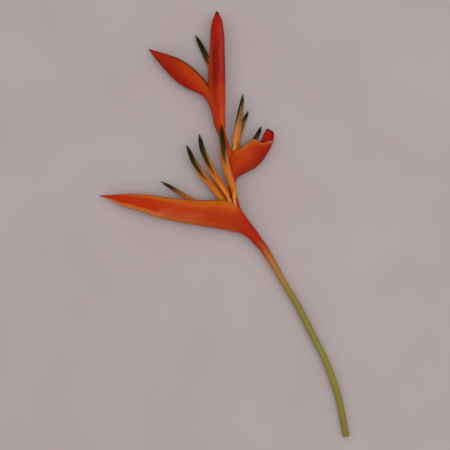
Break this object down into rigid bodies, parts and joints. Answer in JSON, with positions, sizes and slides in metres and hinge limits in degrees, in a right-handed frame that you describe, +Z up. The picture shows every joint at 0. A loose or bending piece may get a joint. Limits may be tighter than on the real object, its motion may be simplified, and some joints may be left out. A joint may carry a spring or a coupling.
{
  "type": "heliconia flower",
  "caption": "Cut parrot's beak heliconia, or false bird of paradise, lying flat: open boat-shaped bracts along a zigzag axis, slim florets in their mouths and a long bare stalk.",
  "frame": {"origin": "centre of the flower's outline seen from above, on the surface it lies on", "axes": "+Z up from the surface, +Y from the cut end of the stalk towards the tip of the top bract, -X towards the tip of the lower bract"},
  "size_m": [0.1603, 0.2728, 0.0134],
  "materials": {
    "stem": "satin green-brown to red",
    "bract": "waxy satin orange-red",
    "tube": "satin orange, green-black towards the tip",
    "sepal": "satin orange, green-black towards the tip",
    "ovary": "glossy yellow"
  },
  "bodies": {
    "root": {"stem": "stem", "lower_bract": "bract", "right_bract": "bract", "upper_left_bract": "bract", "top_bract": "bract", "lower_floret_1_ovary": "ovary", "lower_floret_1_tube": "tube", "lower_floret_1_sepal": "sepal", "lower_floret_2_ovary": "ovary", "lower_floret_2_tube": "tube", "lower_floret_2_sepal": "sepal", "lower_floret_3_ovary": "ovary", "lower_floret_3_tube": "tube", "lower_floret_3_sepal": "sepal", "lower_floret_4_ovary": "ovary", "lower_floret_4_tube": "tube", "lower_floret_4_sepal": "sepal", "right_floret_1_ovary": "ovary", "right_floret_1_tube": "tube", "right_floret_1_sepal": "sepal", "right_floret_2_ovary": "ovary", "right_floret_2_tube": "tube", "right_floret_2_sepal": "sepal", "right_floret_3_ovary": "ovary", "right_floret_3_tube": "tube", "right_floret_3_sepal": "sepal", "upper_left_floret_1_ovary": "ovary", "upper_left_floret_1_tube": "tube", "upper_left_floret_1_sepal": "sepal"}
  },
  "joints": []
}
